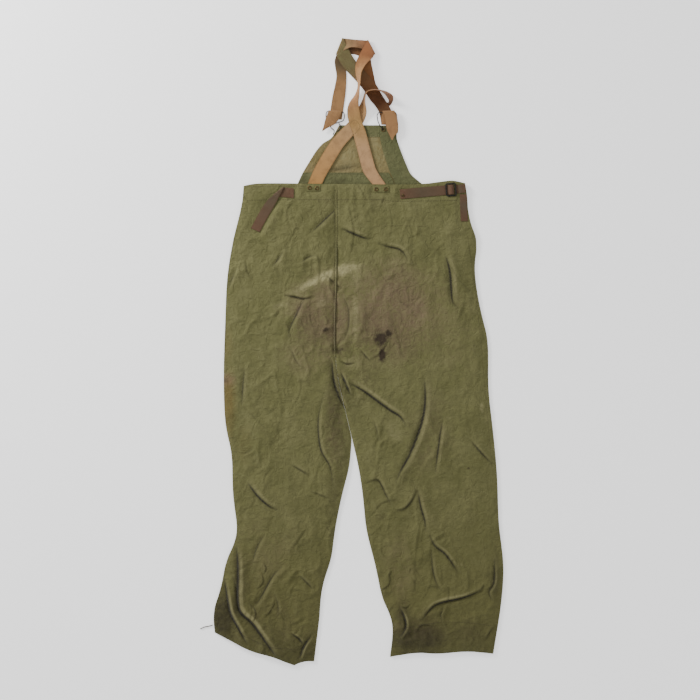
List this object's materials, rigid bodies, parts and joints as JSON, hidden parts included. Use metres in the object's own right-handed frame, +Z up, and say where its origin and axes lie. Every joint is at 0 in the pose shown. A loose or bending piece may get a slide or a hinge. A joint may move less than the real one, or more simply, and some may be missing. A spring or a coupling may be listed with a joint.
{
  "type": "worn bib overalls laid flat",
  "caption": "Worn olive cotton bib overalls laid flat face down, with webbing braces crossed above the back and thrown over the bib.",
  "frame": {"origin": "middle of the flat underside, where the garment rests, midway between the braces' top and the lowest hem", "axes": "+Y from the hems to the bib and braces, +X to the wearer's right, +Z up out of the back, which faces up"},
  "size_m": [0.7886, 1.6298, 0.0314],
  "materials": {
    "cloth": "worn olive cotton poplin, creased, oil and dirt stained",
    "cloth_inside": "faded khaki inner side of the same cotton",
    "webbing": "tan cotton webbing, grubby",
    "dark_webbing": "brown narrow cotton webbing",
    "dark_metal": "black lacquered steel wire and buckle, worn",
    "dull_brass": "tarnished brass",
    "cord": "dark braided cotton cord"
  },
  "bodies": {
    "root": {"back_left": "cloth", "back_right": "cloth", "front_left": "cloth_inside", "front_right": "cloth_inside", "bib": "cloth_inside", "bib_facing_top": "cloth", "bib_facing_side": "cloth", "waist_casing": "cloth", "brace_left": "webbing", "brace_right": "webbing", "clip_left": "dark_metal", "hook_left_outer": "dark_metal", "hook_left_inner": "dark_metal", "clip_right": "dark_metal", "bib_eyelet": "dull_brass", "root_patch_left": "dark_webbing", "root_eyelet_left_1": "dull_brass", "root_eyelet_left_2": "dull_brass", "root_patch_right": "dark_webbing", "root_eyelet_right_1": "dull_brass", "root_eyelet_right_2": "dull_brass", "adjuster_left": "dark_webbing", "side_band": "dark_webbing", "adjuster_right": "dark_webbing", "buckle_tab": "dark_webbing", "adjuster_rivet": "dull_brass", "adjuster_buckle": "dark_metal", "hem_drawstring": "cord"}
  },
  "joints": []
}
